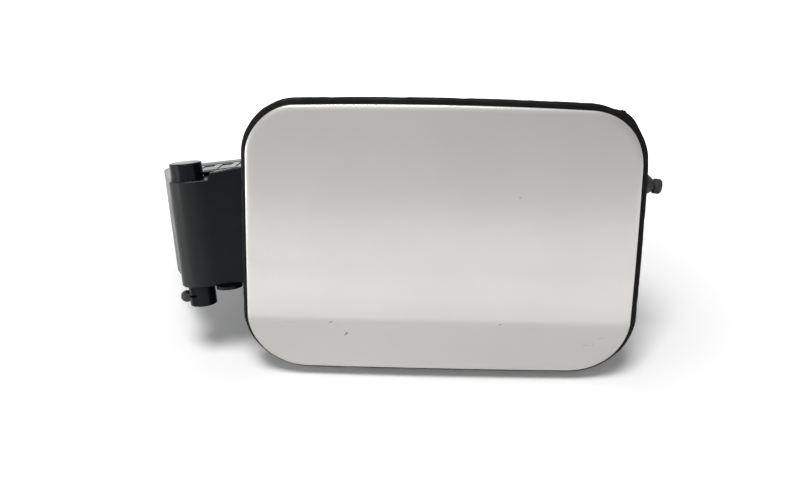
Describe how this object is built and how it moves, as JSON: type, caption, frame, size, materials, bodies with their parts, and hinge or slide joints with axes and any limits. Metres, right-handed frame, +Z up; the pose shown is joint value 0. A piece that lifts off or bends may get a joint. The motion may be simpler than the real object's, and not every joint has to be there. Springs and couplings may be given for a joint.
{
  "type": "car fuel door",
  "caption": "Car fuel door unit: crowned, creased painted flap on a gooseneck hinge in a moulded filler bowl, with rubber rim seal, hinge housing and sliding lock pin.",
  "frame": {"origin": "middle of the bounding box, on the surface that the unit stands on", "axes": "+X along the car from the hinge to the lock pin, +Y inboard, +Z up; the door faces -Y and leans back with the body side"},
  "size_m": [0.2588, 0.1036, 0.1397],
  "materials": {
    "paint": "glossy clear-coated light grey body paint with a few small chips and scratches",
    "inner_paint": "thin satin body paint over primer",
    "seal_rubber": "matte black moulded rubber",
    "bowl_plastic": "fine-grained black moulding",
    "housing_plastic": "smooth glossy blue-black moulding",
    "arm_plastic": "satin black glass-filled moulding",
    "steel": "bright zinc plating",
    "spring_steel": "dark drawn spring wire",
    "bush_bronze": "oiled sintered bronze",
    "guide_plastic": "natural white low-friction moulding",
    "pin_plastic": "matte black moulding",
    "rivet_aluminium": "plain blind rivet"
  },
  "bodies": {
    "bowl": {"filler_bowl": "bowl_plastic", "rim_seal": "seal_rubber", "neck_seal": "seal_rubber", "hinge_housing": "housing_plastic", "hinge_cover": "housing_plastic", "hinge_pin": "steel", "pin_cap": "housing_plastic", "pin_retainer": "housing_plastic", "hinge_spring": "spring_steel", "lock_guide": "guide_plastic", "guide_clip": "spring_steel"},
    "door": {"door_skin": "paint", "door_inner_panel": "inner_paint", "hinge_arm": "arm_plastic", "upper_bush": "bush_bronze", "lower_bush": "bush_bronze", "arm_screws": "steel", "lock_striker": "steel", "striker_rivets": "rivet_aluminium"},
    "lock": {"lock_pin": "pin_plastic"}
  },
  "joints": [
    {"name": "door_hinge", "type": "hinge", "parent": "bowl", "child": "door", "pos_m": [-0.10445, -0.02194, 0.0684], "axis": [0.1011, -0.2575, -0.961], "range_deg": [0, 85], "stiffness_Nm_per_rad": 0.08, "springref_deg": -68.75, "deforming": ["hinge_spring"]},
    {"name": "lock_slide", "type": "slide", "parent": "bowl", "child": "lock", "axis": [-0.9925, 0.0315, 0.1177], "range_m": [0, 0.0055]}
  ]
}
